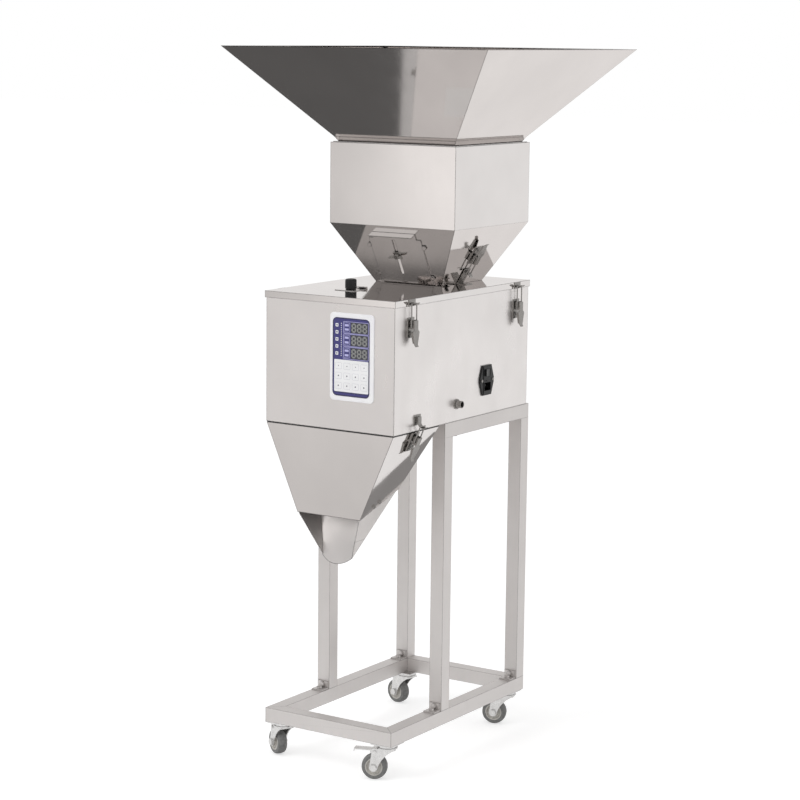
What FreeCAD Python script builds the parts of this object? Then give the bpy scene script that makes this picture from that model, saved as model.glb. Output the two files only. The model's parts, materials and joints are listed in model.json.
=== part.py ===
import FreeCAD, Part
import Sketcher
import os
import re

os.makedirs("parts", exist_ok=True)

# A granule weighing and filling machine on a castered stand, in millimetres.
# X runs along the control panel's face, Y to the back, Z up from the floor.

SIZES = [
    ("front_y", -308.5, "plane of the housing's front"),
    ("stand_out", 1, "stand's outer faces beyond the housing's walls, on each side"),
    ("frame_d", 488, "base frame depth"),
    ("frame_z", 73, "underside of the base frame, the casters' height"),
    ("tube", 28, "square tube of the stand"),
    ("tube_wall", 1.5, "wall of the square tube"),
    ("leg_y", 175, "front legs, back from the housing's front"),
    ("sheet", 1.5, "stainless sheet"),
    ("house_w", 292, "housing width"),
    ("house_d", 480, "housing depth"),
    ("house_z", 667, "underside of the housing"),
    ("lid_z", 917, "top face of the lid"),
    ("lid_lip", 13, "height of the lid's lip"),
    ("lid_over", 2.4, "lid's lip beyond the housing wall"),
    ("axis_y", 341, "centre line of the hoppers, from the front"),
    ("out_w", 153, "pyramid outlet width"),
    ("out_d", 149, "pyramid outlet depth"),
    ("bin_w", 288, "upper bin width"),
    ("bin_d", 274, "upper bin depth"),
    ("bin_z", 1033, "foot of the upper bin's straight wall"),
    ("bin_top", 1190, "top of the upper bin"),
    ("neck_w", 268, "hopper neck width"),
    ("neck_d", 250, "hopper neck depth"),
    ("neck_flare", 6, "outward flare of the neck on each side"),
    ("neck_h", 9, "height of the flared part of the neck"),
    ("hop_w", 600, "hopper width at the rim"),
    ("hop_d", 566, "hopper depth at the rim"),
    ("hop_z", 1373, "hopper rim"),
    ("fun_d", 158, "funnel depth at the top"),
    ("fun_front", 499, "lower edge of the funnel's front wall"),
    ("seal", 2, "rubber seal between the housing and the funnel"),
    ("noz_z", 403, "lowest point of the nozzle"),
    ("side_run", 0.44, "funnel side walls, inward run per unit of height"),
    ("back_run", 0.5, "funnel back wall, forward run per unit of height"),
    ("seam_run", 0.48, "rise of the seam between funnel and nozzle towards the back"),
    ("wheel", 50, "caster wheel diameter"),
    ("wheel_w", 19, "caster wheel width"),
    ("trail", 24, "caster trail"),
    ("caster_in", 25, "swivel axis, in from the frame's outer faces"),
    ("plate_x", 52, "control panel plate, centre from the housing's middle"),
    ("plate_w", 99, "control panel plate width"),
    ("plate_z", 723, "control panel plate foot"),
    ("plate_h", 165, "control panel plate height"),
    ("inlet_y", 323, "mains inlet, back from the front"),
    ("inlet_z", 734, "mains inlet centre height"),
    ("inlet_h", 59, "mains inlet flange height"),
    ("plug_y", 216, "signal socket, back from the front"),
    ("plug_z", 700, "signal socket centre height"),
    ("flap_x", -27, "inspection flap centre"),
    ("flap_y", 108, "inspection flap centre, back from the front"),
    ("flap_a", 44, "inspection flap side"),
    ("gate_w", 120, "slide gate width"),
    ("gate_x", -4, "slot of the slide gate"),
    ("tray_w", 160, "feeder tray width"),
    ("tray_z", 850, "feeder tray floor at the outlet"),
    ("bucket_w", 120, "weigh bucket width"),
    ("bucket_z", 712, "weigh bucket foot"),
    ("bucket_top", 806, "weigh bucket rim"),
    ("arm", 9, "latch lever, pivot to bail eye"),
    ("wire", 2.4, "latch bail wire"),
    ("reach_lid", 34, "lid latch, pivot to bail bar"),
    ("reach_fun", 26, "funnel latch, pivot to bail bar"),
    ("reach_bin", 28, "upper bin latch, pivot to bail bar"),
]

doc = FreeCAD.newDocument("filling_machine")
dims = doc.addObject("Spreadsheet::Sheet", "dims")
for row, (alias, value, meaning) in enumerate(SIZES, 1):
    dims.set("A%d" % row, meaning)
    dims.set("B%d" % row, str(value))
    dims.setAlias("B%d" % row, alias)
doc.recompute()

ALIASES = {alias for alias, value, meaning in SIZES}
WORD = re.compile(r"[a-z][a-z_0-9]*")
Vector = FreeCAD.Vector
Rotation = FreeCAD.Rotation
AXIS_TURN = {
    "x": Rotation(Vector(0, 1, 0), 90),
    "y": Rotation(Vector(1, 0, 0), -90),
    "z": Rotation(),
}


def bind(thing, prop, text):
    """Tie a property to an expression written in the sheet's aliases."""
    named = WORD.sub(lambda m: "dims." + m.group() if m.group() in ALIASES else m.group(), str(text))
    thing.setExpression(prop, named)


def at(thing, x, y, z):
    """Tie the base point of a placement."""
    bind(thing, "Placement.Base.x", x)
    bind(thing, "Placement.Base.y", y)
    bind(thing, "Placement.Base.z", z)
    return thing


def box(x0, x1, y0, y1, z0, z1):
    """Block between two corners."""
    block = doc.addObject("Part::Box", "block")
    bind(block, "Length", "(%s) - (%s)" % (x1, x0))
    bind(block, "Width", "(%s) - (%s)" % (y1, y0))
    bind(block, "Height", "(%s) - (%s)" % (z1, z0))
    return at(block, x0, y0, z0)


def taper(axis, start, low, end, high):
    """Straight-sided block along an axis, between a rectangle at its start and one at its end.

    A rectangle is (x0, x1, y0, y1) along z, (x0, x1, z0, z1) along y and (y0, y1, z0, z1) along x.
    """
    wedge = doc.addObject("Part::Wedge", "wedge")
    turn = {"z": Rotation(Vector(1, 0, 0), 90), "y": Rotation(), "x": Rotation(Vector(0, 0, 1), -90)}
    wedge.Placement = FreeCAD.Placement(Vector(0, 0, 0), turn[axis])
    bind(wedge, "Ymin", start)
    bind(wedge, "Ymax", end)
    ends = {
        "z": (("Xmin", 1), ("Xmax", 1), ("Zmax", -1), ("Zmin", -1)),
        "y": (("Xmin", 1), ("Xmax", 1), ("Zmin", 1), ("Zmax", 1)),
        "x": (("Xmax", -1), ("Xmin", -1), ("Zmin", 1), ("Zmax", 1)),
    }
    for (prop, sign), low_text, high_text in zip(ends[axis], low, high):
        bind(wedge, prop, "%d * (%s)" % (sign, low_text))
        bind(wedge, prop[0] + "2" + prop[1:], "%d * (%s)" % (sign, high_text))
    return wedge


def rod(axis, x, y, z, radius, length, angle=360):
    """Cylinder from a point along an axis."""
    cylinder = doc.addObject("Part::Cylinder", "rod")
    cylinder.Placement = FreeCAD.Placement(Vector(0, 0, 0), AXIS_TURN[axis])
    cylinder.Angle = angle
    bind(cylinder, "Radius", radius)
    bind(cylinder, "Height", length)
    return at(cylinder, x, y, z)


def hexagon(axis, x, y, z, radius, length):
    """Hexagonal head or nut from a point along an axis."""
    prism = doc.addObject("Part::Prism", "hexagon")
    prism.Placement = FreeCAD.Placement(Vector(0, 0, 0), AXIS_TURN[axis])
    prism.Polygon = 6
    bind(prism, "Circumradius", radius)
    bind(prism, "Height", length)
    return at(prism, x, y, z)


def ball(x, y, z, radius):
    """Round corner of a bent wire."""
    sphere = doc.addObject("Part::Sphere", "bend")
    bind(sphere, "Radius", radius)
    return at(sphere, x, y, z)


def fuse(*things):
    """One solid from several."""
    if len(things) == 1:
        return things[0]
    joined = doc.addObject("Part::MultiFuse", "joined")
    joined.Shapes = list(things)
    joined.Refine = True
    return joined


def cut(solid, *tools):
    """Take the tools out of a solid."""
    left = doc.addObject("Part::Cut", "left")
    left.Base = solid
    left.Tool = fuse(*tools)
    return left


def common(first, second):
    """What two solids share."""
    shared = doc.addObject("Part::MultiCommon", "shared")
    shared.Shapes = [first, second]
    return shared


def group(*things):
    """Touching solids that are kept apart, such as welded tubes."""
    bundle = doc.addObject("Part::Compound", "bundle")
    bundle.Links = list(things)
    return bundle


def outline(owner, points):
    """Closed polygon in a sketch, each corner held by its two distances from the origin."""
    sketch = owner.newObject("Sketcher::SketchObject", "outline")
    count = len(points)
    for i in range(count):
        start = Vector(10 * i, 5 * i * (count - i), 0)
        j = (i + 1) % count
        end = Vector(10 * j, 5 * j * (count - j), 0)
        sketch.addGeometry(Part.LineSegment(start, end), False)
    for i in range(count):
        sketch.addConstraint(Sketcher.Constraint("Coincident", i, 2, (i + 1) % count, 1))
    for i, (first, second) in enumerate(points):
        for kind, text in (("DistanceX", first), ("DistanceY", second)):
            index = sketch.addConstraint(Sketcher.Constraint(kind, -1, 1, i, 1, 1.0 + i))
            bind(sketch, "Constraints[%d]" % index, text)
    return sketch


def place(thing, x, y, z, yaw=0, pitch=0, roll=0):
    """Tie a whole placement, with its angles in degrees, on top of a primitive's own."""
    if thing.TypeId in ("Part::Box", "Part::Cylinder", "Part::Wedge"):
        thing = group(thing)
    spot = "placement(vector(%s; %s; %s); rotation(%s; %s; %s))" % (x, y, z, yaw, pitch, roll)
    bind(thing, "Placement", spot)
    return thing


def padded(points, length):
    """Body with one outline, padded along its own Z."""
    body = doc.addObject("PartDesign::Body", "body")
    pad = body.newObject("PartDesign::Pad", "pad")
    pad.Profile = outline(body, points)
    bind(pad, "Length", length)
    body.Tip = pad
    return body


def turned(points):
    """Body with one outline of (radius, height) turned about its own Y axis."""
    body = doc.addObject("PartDesign::Body", "body")
    sketch = outline(body, points)
    revolution = body.newObject("PartDesign::Revolution", "revolution")
    revolution.Profile = sketch
    revolution.ReferenceAxis = (sketch, ["V_Axis"])
    revolution.Angle = 360
    body.Tip = revolution
    return body


PARTS = []


def piece(name, thing):
    """Name a finished piece, so that it's exported under its label."""
    thing.Label = name
    PARTS.append(thing)
    return thing


def y_at(text):
    """Distance back from the housing's front, as a coordinate."""
    return "front_y + (%s)" % text


# Stand: a base and a top rail, both of mitred tube, with four legs between them

HALF_FRAME = "(house_w / 2 + stand_out)"


def mitred_beam(axis, outer, inner, ends, z):
    """One side of a mitred frame: its outer face at outer, its inner face at inner, its ends at ends."""
    sign = 1 if axis[0] == "+" else -1
    near, far = (outer, inner) if sign > 0 else (inner, outer)

    def block(wall):
        long_side = ("%s + %s" % (ends[0], wall), "%s - %s" % (ends[1], wall))
        short_side = ("%s + tube - %s" % (ends[0], wall), "%s - tube + %s" % (ends[1], wall))
        level = ("%s + %s" % (z, wall), "%s + tube - %s" % (z, wall))
        low, high = (long_side, short_side) if sign > 0 else (short_side, long_side)
        return taper(axis[1], "%s + %s" % (near, wall), low + level, "%s - %s" % (far, wall), high + level)

    return cut(block("0"), block("tube_wall"))


def mitred_frame(y0, y1, z):
    """Four mitred tubes around a rectangle, as [front, rear, left, right]."""
    across = ("-" + HALF_FRAME, HALF_FRAME)
    return [
        mitred_beam("+y", y0, y0 + " + tube", across, z),
        mitred_beam("-y", y1, y1 + " - tube", across, z),
        mitred_beam("+x", "-" + HALF_FRAME, "-%s + tube" % HALF_FRAME, (y0, y1), z),
        mitred_beam("-x", HALF_FRAME, HALF_FRAME + " - tube", (y0, y1), z),
    ]


LEG_X = ("-%s" % HALF_FRAME, "%s - tube" % HALF_FRAME)
LEG_Y = (y_at("leg_y"), y_at("frame_d - tube"))
BOLT_X = ("-%s + tube / 2" % HALF_FRAME, "%s - tube / 2" % HALF_FRAME)
RAIL_BOLT_Y = (y_at("leg_y + 2 * tube"), y_at("frame_d - 2 * tube"))
FRAME_TOP = "frame_z + tube"
RAIL_Z = "house_z - tube"

base = mitred_frame(y_at("0"), y_at("frame_d"), "frame_z")
foot_holes = [rod("z", x, y + " - 13", "frame_z + tube - 4", 3.3, 8) for x in BOLT_X for y in LEG_Y]
base[2] = cut(base[2], *foot_holes[:2])
base[3] = cut(base[3], *foot_holes[2:])
piece("base_frame", group(*base))

BOLT_UP = " + 9.5"
rails = mitred_frame(y_at("leg_y"), y_at("frame_d"), RAIL_Z)
rail_holes = [rod("z", x, y, RAIL_Z + " - 1", 3.3, "tube + 2") for x in BOLT_X for y in RAIL_BOLT_Y]
rails[2] = cut(rails[2], *rail_holes[:2])
rails[3] = cut(rails[3], *rail_holes[2:])
legs = []
for x, middle in zip(LEG_X, BOLT_X):
    for y in LEG_Y:
        outside = box(x, x + " + tube", y, y + " + tube", FRAME_TOP, RAIL_Z)
        bore = box(x + " + tube_wall", x + " + tube - tube_wall", y + " + tube_wall",
                   y + " + tube - tube_wall", FRAME_TOP + " - 1", RAIL_Z + " + 1")
        hole = rod("y", middle, y + " - 1", FRAME_TOP + BOLT_UP, 3.3, 4)
        legs.append(cut(outside, bore, hole))
piece("upper_stand", group(*rails, *legs))

brackets = []
for middle in BOLT_X:
    for y in LEG_Y:
        angle = padded([("0", "0"), ("24", "0"), ("24", "3"), ("3", "3"), ("3", "16"), ("0", "16")], 24)
        place(angle, middle + " + 12", y, FRAME_TOP, -90, 0, 90)
        bore_down = rod("z", middle, y + " - 13", FRAME_TOP + " - 1", 3.3, 5)
        bore_along = rod("y", middle, y + " - 4", FRAME_TOP + BOLT_UP, 3.3, 5)
        brackets.append(cut(angle, bore_down, bore_along))
        brackets.append(fuse(rod("z", middle, y + " - 13", FRAME_TOP + " - 6", 3, 9.5),
                             hexagon("z", middle, y + " - 13", FRAME_TOP + " + 3", 5.6, 4)))
        brackets.append(fuse(rod("y", middle, y + " - 3.5", FRAME_TOP + BOLT_UP, 3, 9.5),
                             hexagon("y", middle, y + " - 7", FRAME_TOP + BOLT_UP, 5.6, 4)))
piece("foot_brackets", group(*brackets))

bolts = []
for x in BOLT_X:
    for y in RAIL_BOLT_Y:
        bolts.append(fuse(
            hexagon("z", x, y, RAIL_Z + " - 4", 5.6, 4),
            rod("z", x, y, RAIL_Z + " - 1", 3, "tube + sheet + 9"),
            hexagon("z", x, y, "house_z + sheet", 5.6, 5)))

# Casters: a riveted swivel, a pressed fork, a wheel on a bolt, and a brake pedal on the front pair

AXLE_Z = "wheel / 2"
CORNERS = {
    "front_left": ("-%s + caster_in" % HALF_FRAME, y_at("caster_in"), -28),
    "front_right": ("%s - caster_in" % HALF_FRAME, y_at("caster_in"), 22),
    "rear_left": ("-%s + caster_in" % HALF_FRAME, y_at("frame_d - caster_in"), -11),
    "rear_right": ("%s - caster_in" % HALF_FRAME, y_at("frame_d - caster_in"), 16),
}

plates = []
for x, y, turn in CORNERS.values():
    plate = box(-23, 23, -23, 23, "frame_z - 3", "frame_z")
    cup = rod("z", 0, 0, "frame_z - 8", 18, 5.5)
    pin = rod("z", 0, 0, "frame_z - 15", 4, 9)
    head = rod("z", 0, 0, "frame_z - 15", 7, 2.4)
    plates.append(place(fuse(plate, cup, pin, head), x, y, 0))
piece("caster_plates", group(*plates))

for corner, (x, y, turn) in CORNERS.items():
    front = corner.startswith("front")
    crown = rod("z", 0, 0, "frame_z - 10.5", 20, 2.4)
    bridge = box(-27, 18, -13.5, 13.5, "frame_z - 12.5", "frame_z - 10.4")
    arms = []
    for side in (-1, 1):
        y0, y1 = sorted((11 * side, 13.5 * side))
        arm = taper("z", AXLE_Z, ("-trail - 8", "-trail + 8", y0, y1), "frame_z - 12.4", (-27, 16, y0, y1))
        hollow_edge = rod("y", "trail + 17", -20, AXLE_Z + " - 19", 60, 40)
        arms.append(fuse(cut(arm, hollow_edge), rod("y", "-trail", y0, AXLE_Z, 8, 2.5)))
    holes = [rod("z", 0, 0, "frame_z - 14", 4.1, 8), rod("y", "-trail", -20, AXLE_Z, 4.02, 40)]
    fork = fuse(crown, bridge, *arms)
    if front:
        holes.append(rod("y", "-trail + 2", -20, "frame_z - 17", 2.02, 40))
    piece("caster_fork_" + corner, place(cut(fork, *holes), x, y, 0, turn))

    rim = "wheel / 2 - 8"
    tyre = turned([
        (rim, "0.5"), ("wheel / 2 - 3", "0.5"), ("wheel / 2", "3.5"), ("wheel / 2", "wheel_w - 3.5"),
        ("wheel / 2 - 3", "wheel_w - 0.5"), (rim, "wheel_w - 0.5")])
    core = turned([
        ("4.1", "-1.4"), ("8", "-1.4"), ("8", "2.5"), (rim + " - 3", "2.5"), (rim + " - 3", "0"),
        (rim, "0"), (rim, "wheel_w"), (rim + " - 3", "wheel_w"), (rim + " - 3", "wheel_w - 2.5"),
        ("8", "wheel_w - 2.5"), ("8", "wheel_w + 1.4"), ("4.1", "wheel_w + 1.4")])
    for ring in (tyre, core):
        place(ring, "-trail", "-wheel_w / 2", AXLE_Z)
    piece("caster_wheel_" + corner, place(group(tyre, core), x, y, 0, turn))

    axle = fuse(rod("y", "-trail", -17, AXLE_Z, 4, 34), hexagon("y", "-trail", -17.5, AXLE_Z, 7, 4),
                hexagon("y", "-trail", 13.5, AXLE_Z, 7, 4))
    if front:
        axle = group(axle, fuse(rod("y", "-trail + 2", -14.5, "frame_z - 17", 2, 29),
                                rod("y", "-trail + 2", -15.5, "frame_z - 17", 3.5, 2),
                                rod("y", "-trail + 2", 13.5, "frame_z - 17", 3.5, 2)))
    piece("caster_axle_" + corner, place(axle, x, y, 0, turn))

    if front:
        sleeve = rod("y", "-trail + 2", -10.8, "frame_z - 17", 3.4, 21.6)
        pedal = box("-trail - 38", "-trail + 2", -9, 9, "frame_z - 15.6", "frame_z - 13.6")
        toe = taper("z", "frame_z - 19", ("-trail - 40", "-trail - 38.2", -9, 9),
                    "frame_z - 13.6", ("-trail - 39", "-trail - 37", -9, 9))
        shoe = box("-trail - 8", "-trail - 3", -8, 8, "frame_z - 20.5", "frame_z - 15")
        brake = cut(fuse(sleeve, pedal, toe, shoe), rod("y", "-trail + 2", -20, "frame_z - 17", 2.05, 40))
        piece("caster_brake_" + corner, place(brake, x, y, 0, turn))

# Housing: a folded box with a drop opening, and a lipped lid

HALF_HOUSE = "house_w / 2"
LID_UNDER = "lid_z - sheet"


def open_box(x, y0, y1, z0, z1, inset):
    """Block inset on its four sides."""
    return box("-(%s) + %s" % (x, inset), "%s - %s" % (x, inset), "%s + %s" % (y0, inset),
               "%s - %s" % (y1, inset), z0, z1)


house = open_box(HALF_HOUSE, y_at("0"), y_at("house_d"), "house_z", LID_UNDER, "0")
room = open_box(HALF_HOUSE, y_at("0"), y_at("house_d"), "house_z + sheet", "lid_z + 1", "sheet")
drop = box(-100, 100, y_at("14"), y_at("fun_d - 16"), "house_z - 1", "house_z + sheet + 1")
wiring = box("plate_x - 14", "plate_x + 14", y_at("-1"), y_at("sheet + 1"),
             "plate_z + plate_h / 2 - 14", "plate_z + plate_h / 2 + 14")
inlet_hole = box(HALF_HOUSE + " - 3", HALF_HOUSE + " + 1", y_at("inlet_y - 14"), y_at("inlet_y + 14"),
                 "inlet_z - 24", "inlet_z + 24")
INLET_SCREWS_Y = (-20, 20)
inlet_screws = [rod("x", HALF_HOUSE + " - 3", y_at("inlet_y %+d" % dy), "inlet_z", 1.7, 5)
                for dy in INLET_SCREWS_Y]
plug_hole = rod("x", HALF_HOUSE + " - 3", y_at("plug_y"), "plug_z", 8.1, 5)
floor_holes = [rod("z", x, y, "house_z - 1", 3.3, 5) for x in BOLT_X for y in RAIL_BOLT_Y]
piece("housing", cut(house, room, drop, wiring, inlet_hole, plug_hole, *inlet_screws, *floor_holes))

HALF_COLLAR_X = "out_w / 2 - 3.5"
HALF_COLLAR_Y = "out_d / 2 - 3.5"
AXIS = y_at("axis_y")
cover = open_box(HALF_HOUSE + " + lid_over", y_at("-lid_over"), y_at("house_d + lid_over"),
                 "lid_z - lid_lip", "lid_z", "0")
under = open_box(HALF_HOUSE + " + lid_over", y_at("-lid_over"), y_at("house_d + lid_over"),
                 "lid_z - lid_lip - 1", LID_UNDER, "sheet")
mouth = box("-(%s) - 0.6" % HALF_COLLAR_X, HALF_COLLAR_X + " + 0.6",
            "%s - (%s) - 0.6" % (AXIS, HALF_COLLAR_Y), "%s + %s + 0.6" % (AXIS, HALF_COLLAR_Y),
            LID_UNDER + " - 1", "lid_z + 1")
peep = box("flap_x - 15", "flap_x + 15", y_at("flap_y - 15"), y_at("flap_y + 15"),
           LID_UNDER + " - 1", "lid_z + 1")
HINGE_Y = y_at("flap_y + flap_a / 2 + 3")
HINGE_Z = "lid_z + 2.6"
hinge = []
for x0, x1 in (("flap_x - 20", "flap_x - 12.2"), ("flap_x + 12.2", "flap_x + 20")):
    hinge.append(box(x0, x1, HINGE_Y + " - 2", HINGE_Y + " + 2.5", LID_UNDER + " + 0.5", HINGE_Z))
    hinge.append(rod("x", x0, HINGE_Y, HINGE_Z, 2.5, "7.8"))
hinge.append(rod("x", "flap_x - 20", HINGE_Y, HINGE_Z, 1.1, 40))
piece("lid", fuse(cut(cover, under, mouth, peep), *hinge))

flap = box("flap_x - flap_a / 2", "flap_x + flap_a / 2", y_at("flap_y - flap_a / 2"),
           y_at("flap_y + flap_a / 2"), "lid_z", "lid_z + 1.2")
tab = box("flap_x - 12", "flap_x + 12", y_at("flap_y + flap_a / 2 - 1"), HINGE_Y,
          "lid_z + 0.1", "lid_z + 1.2")
knuckle = rod("x", "flap_x - 12", HINGE_Y, HINGE_Z, 2.5, 24)
knob_seat = rod("z", "flap_x", y_at("flap_y"), "lid_z - 1", 2.1, 4)
pin_bore = rod("x", "flap_x - 30", HINGE_Y, HINGE_Z, 1.16, 60)
piece("lid_flap", cut(fuse(flap, tab, knuckle), pin_bore, knob_seat))

knob = turned([
    ("0", "-0.9"), ("2", "-0.9"), ("2", "1.2"), ("9", "1.2"), ("11", "3.2"), ("11", "19.2"), ("9", "21.2"),
    ("0", "21.2")])
piece("flap_knob", place(knob, "flap_x", y_at("flap_y"), "lid_z", 0, 0, 90))

# Control panel, mains inlet with its switch and fuse drawer, and the signal socket

plate = padded([
    ("7", "0"), ("plate_w - 7", "0"), ("plate_w", "7"), ("plate_w", "plate_h - 8"),
    ("plate_w - 2.3", "plate_h - 2.3"), ("plate_w - 8", "plate_h"), ("8", "plate_h"),
    ("2.3", "plate_h - 2.3"), ("0", "plate_h - 8"), ("0", "7")], 2)
piece("panel_plate", place(plate, "plate_x - plate_w / 2", y_at("0"), "plate_z", 0, 0, 90))
film = padded([
    ("5", "0"), ("plate_w - 21", "0"), ("plate_w - 16", "5"), ("plate_w - 16", "plate_h - 23"),
    ("plate_w - 21", "plate_h - 18"), ("5", "plate_h - 18"), ("0", "plate_h - 23"), ("0", "5")], 0.5)
piece("panel_film", place(film, "plate_x - plate_w / 2 + 6.6", y_at("-2"), "plate_z + 9", 0, 0, 90))

SIDE = HALF_HOUSE
flange = box(SIDE, SIDE + " + 3", y_at("inlet_y - 16"), y_at("inlet_y + 16"),
             "inlet_z - inlet_h / 2", "inlet_z + inlet_h / 2")
tip = (SIDE, SIDE + " + 3", "inlet_z - 4", "inlet_z + 4")
root = (SIDE, SIDE + " + 3", "inlet_z - inlet_h / 2 + 0.8", "inlet_z + inlet_h / 2 - 0.8")
ears = [taper("y", y_at("inlet_y + 15.9"), root, y_at("inlet_y + 25"), tip),
        taper("y", y_at("inlet_y - 25"), tip, y_at("inlet_y - 15.9"), root)]
bezel = box(SIDE + " + 2.9", SIDE + " + 4", y_at("inlet_y - 14"), y_at("inlet_y + 14"),
            "inlet_z - inlet_h / 2 + 2", "inlet_z + inlet_h / 2 - 2")
shell = box(SIDE + " - 26", SIDE + " + 0.1", y_at("inlet_y - 13.5"), y_at("inlet_y + 13.5"),
            "inlet_z - 23.5", "inlet_z + 23.5")
well = box(SIDE + " - 14", SIDE + " + 6", y_at("inlet_y - 12"), y_at("inlet_y + 12"),
           "inlet_z - 20.5", "inlet_z - 4.5")
switch_well = box(SIDE + " - 10", SIDE + " + 6", y_at("inlet_y - 10.3"), y_at("inlet_y + 10.3"),
                  "inlet_z + 8", "inlet_z + 22")
drawer_well = box(SIDE + " - 20", SIDE + " + 6", y_at("inlet_y - 11"), y_at("inlet_y + 11"),
                  "inlet_z - 2.4", "inlet_z + 5.8")
ear_holes = [rod("x", SIDE + " - 1", y_at("inlet_y %+d" % dy), "inlet_z", 1.7, 6) for dy in INLET_SCREWS_Y]
pins = [box(SIDE + " - 15", SIDE + " - 1",
            y_at("inlet_y %+.1f" % (dy - 1)), y_at("inlet_y %+.1f" % (dy + 1)),
            "inlet_z %+.1f" % (dz - 2), "inlet_z %+.1f" % (dz + 2))
        for dy, dz in ((-7, -14.5), (0, -10.5), (7, -14.5))]
pivot_bore = rod("z", SIDE + " + 1.2", y_at("inlet_y"), "inlet_z + 6.6", 1.56, 16.8)
case = cut(fuse(flange, bezel, shell, *ears), well, switch_well, drawer_well, pivot_bore, *ear_holes)
piece("power_inlet", fuse(case, *pins))

screws = []
for dy in INLET_SCREWS_Y:
    screws.append(fuse(rod("x", SIDE + " + 3", y_at("inlet_y %+d" % dy), "inlet_z", 3, 1.6),
                       rod("x", SIDE + " - 5", y_at("inlet_y %+d" % dy), "inlet_z", 1.5, 9),
                       hexagon("x", SIDE + " - sheet - 2.4", y_at("inlet_y %+d" % dy), "inlet_z", 3, 2.4)))

rocker = fuse(
    taper("x", -5, (-9, 9, -6.6, 6.6), 3.2, (-9.6, 9.6, -6.6, 6.6)),
    taper("x", 3.1, (-9.6, 0.5, -6.6, 6.6), 5.2, (-9.2, -8, -6.6, 6.6)),
    rod("z", 0, 0, -8.2, 1.5, 16.4))
piece("power_switch", place(rocker, SIDE + " + 1.2", y_at("inlet_y"), "inlet_z + 15", 6))
drawer = fuse(box(SIDE + " - 19.5", SIDE + " + 4", y_at("inlet_y - 10.8"), y_at("inlet_y + 10.8"),
                  "inlet_z - 2.2", "inlet_z + 5.6"),
              box(SIDE + " + 3.9", SIDE + " + 5.2", y_at("inlet_y - 5"), y_at("inlet_y + 5"),
                  "inlet_z - 1.4", "inlet_z + 0.1"))
fuse_bore = rod("y", SIDE + " - 12", y_at("inlet_y - 10"), "inlet_z + 1.8", 2.4, 20)
piece("fuse_drawer", cut(drawer, fuse_bore))

barrel = turned([
    ("3", "-14"), ("8", "-14"), ("8", "0"), ("10", "0"), ("10", "2"), ("7.6", "2"), ("7.6", "4.5"),
    ("7", "5"), ("7", "13"), ("5.6", "13"), ("5.6", "3"), ("3", "3")])
place(barrel, SIDE, y_at("plug_y"), "plug_z", -90)
insert = rod("x", SIDE + " - 14", y_at("plug_y"), "plug_z", 3, 17)
plug_pins = [rod("x", SIDE + " + 2.9", y_at("plug_y %+.1f" % dy), "plug_z %+.1f" % dz, 0.7, 6)
             for dy, dz in ((-1.6, 0), (1.6, 0), (0, 1.6), (0, -1.6))]
piece("signal_socket", group(barrel, fuse(insert, *plug_pins)))

# Hoppers: an upper bin on a pyramid outlet, and the large hopper that lifts out of it

WALL = "sheet * 1.2"


def ring(x, y, grow):
    """Rectangle about the hopper axis from its full width and depth, grown on each side."""
    return ("-(%s) / 2 - (%s)" % (x, grow), "(%s) / 2 + (%s)" % (x, grow),
            "%s - (%s) / 2 - (%s)" % (AXIS, y, grow), "%s + (%s) / 2 + (%s)" % (AXIS, y, grow))


def straight(x, y, grow, z0, z1):
    """Upright block about the hopper axis."""
    sides = ring(x, y, grow)
    return box(*sides, z0, z1)


def sloped(x0, y0, z0, x1, y1, z1, grow):
    """Pyramid block about the hopper axis."""
    return taper("z", z0, ring(x0, y0, grow), z1, ring(x1, y1, grow))


bin_outer = fuse(
    straight("bin_w", "bin_d", "0", "bin_z", "bin_top"),
    sloped("out_w", "out_d", "lid_z", "bin_w", "bin_d", "bin_z", "0"),
    straight("out_w", "out_d", "-3.5", "lid_z - sheet - 8", "lid_z + 1"))
bin_inner = fuse(
    straight("bin_w", "bin_d", "-sheet", "bin_z", "bin_top - sheet"),
    sloped("out_w", "out_d", "lid_z + sheet", "bin_w", "bin_d", "bin_z", "-sheet * 1.17"),
    straight("out_w", "out_d", "-3.5 - sheet", "lid_z - sheet - 9", "lid_z + sheet + 1"),
    straight("neck_w", "neck_d", "1", "bin_top - 5", "bin_top + 1"))

GATE_LEAN = "atan((bin_d - out_d) / 2 / (bin_z - lid_z))"
FACE_Y = y_at("axis_y - bin_d / 2")


def on_face(thing):
    """Lay a piece on the pyramid's front face: X across, minus Z down the slope, minus Y outwards."""
    return place(thing, 0, FACE_Y, "bin_z", 0, 0, GATE_LEAN)


window = on_face(box(-42, 42, -4, 6, -118, -74))
stud_hole = on_face(rod("y", "gate_x", -4, -65, 3.3, 10))
rivets = []
for x, tip in (("-gate_w / 2 - 3.2", 1), ("gate_w / 2 + 3.2", -1)):
    for down in (-44, -112):
        rivets.append(fuse(rod("y", x, -2.2, down, 2.5, 3), rod("y", x, -3.4, down, 4.8, 1.3)))
bin_shell = cut(bin_outer, bin_inner, window, stud_hole)
piece("upper_hopper", fuse(bin_shell, *[on_face(rivet) for rivet in rivets]))

gate = fuse(
    box("-gate_w / 2", "gate_w / 2", -1.8, -0.3, -128, -27),
    box("-gate_w / 2 + 10", "gate_w / 2 - 10", -1.8, -0.3, -28, -14.5),
    box("-gate_w / 2 + 10", "gate_w / 2 - 10", -15, -0.3, -16, -14.5))
slot = fuse(
    box("gate_x - 3.3", "gate_x + 3.3", -3, 1, -104.7, -33.3),
    rod("y", "gate_x", -3, -33.3, 3.3, 4),
    rod("y", "gate_x", -3, -104.7, 3.3, 4))
piece("gate_plate", on_face(cut(gate, slot)))

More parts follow.
